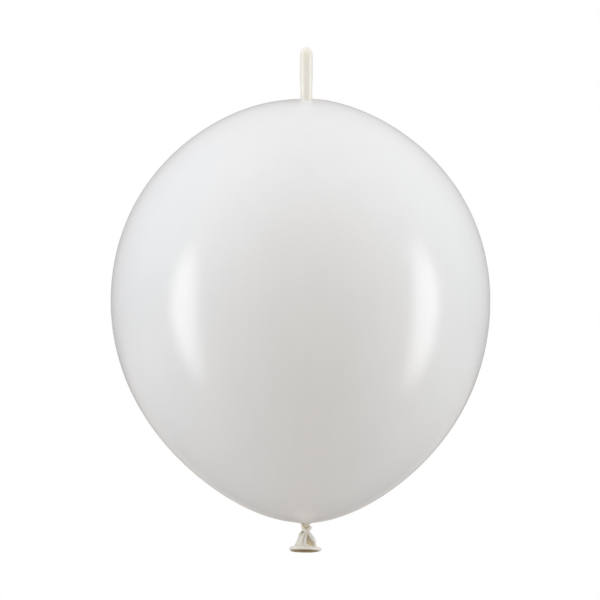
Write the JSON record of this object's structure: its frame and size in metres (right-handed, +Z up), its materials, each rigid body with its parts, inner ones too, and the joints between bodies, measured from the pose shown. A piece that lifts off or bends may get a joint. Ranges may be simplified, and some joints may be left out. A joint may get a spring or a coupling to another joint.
{
  "type": "latex balloon",
  "caption": "Inflated and tied white latex linking balloon: pear-shaped skin with a link tail on its crown, gathered neck, overhand knot, flared mouth and rolled rim.",
  "frame": {"origin": "tie point: middle of the gathered neck, between the inflated skin and the knot", "axes": "+Z up through the balloon to its link tail, -Y to the front, +X to the right seen from the front"},
  "size_m": [0.3048, 0.3048, 0.4067],
  "materials": {
    "envelope_latex": "glossy stretched white latex",
    "tail_latex": "satin cream latex, barely stretched",
    "neck_latex": "satin ivory latex, gathered and creased",
    "mouth_latex": "satin ivory latex, slack and thick"
  },
  "bodies": {
    "envelope": {"envelope": "envelope_latex", "tail_collar": "tail_latex"},
    "tail_root": {"tail_root": "tail_latex"},
    "tail": {"link_tail": "tail_latex"},
    "neck": {"neck": "neck_latex"},
    "knot": {"knot_loop": "neck_latex", "knot_tuck": "neck_latex"},
    "mouth": {"mouth_skirt": "mouth_latex", "mouth_bead": "mouth_latex"}
  },
  "joints": [
    {"name": "tail_lean", "type": "hinge", "parent": "envelope", "child": "tail_root", "pos_m": [0.0005, 0, 0.3471], "axis": [1, 0, 0], "range_deg": [-60, 60], "stiffness_Nm_per_rad": 0.015},
    {"name": "tail_sway", "type": "hinge", "parent": "tail_root", "child": "tail", "pos_m": [0.0005, 0, 0.3566], "axis": [0, 1, 0], "range_deg": [-60, 60], "stiffness_Nm_per_rad": 0.015},
    {"name": "neck_twist", "type": "hinge", "parent": "envelope", "child": "neck", "pos_m": [0, 0, 0], "axis": [0, 0, 1], "range_deg": [-90, 90], "stiffness_Nm_per_rad": 0.003},
    {"name": "knot_tilt", "type": "hinge", "parent": "neck", "child": "knot", "pos_m": [0, 0, 0], "axis": [1, 0, 0], "range_deg": [-45, 45], "stiffness_Nm_per_rad": 0.006},
    {"name": "mouth_sway", "type": "hinge", "parent": "knot", "child": "mouth", "pos_m": [0, 0, -0.0072], "axis": [0, 1, 0], "range_deg": [-35, 35], "stiffness_Nm_per_rad": 0.004}
  ]
}
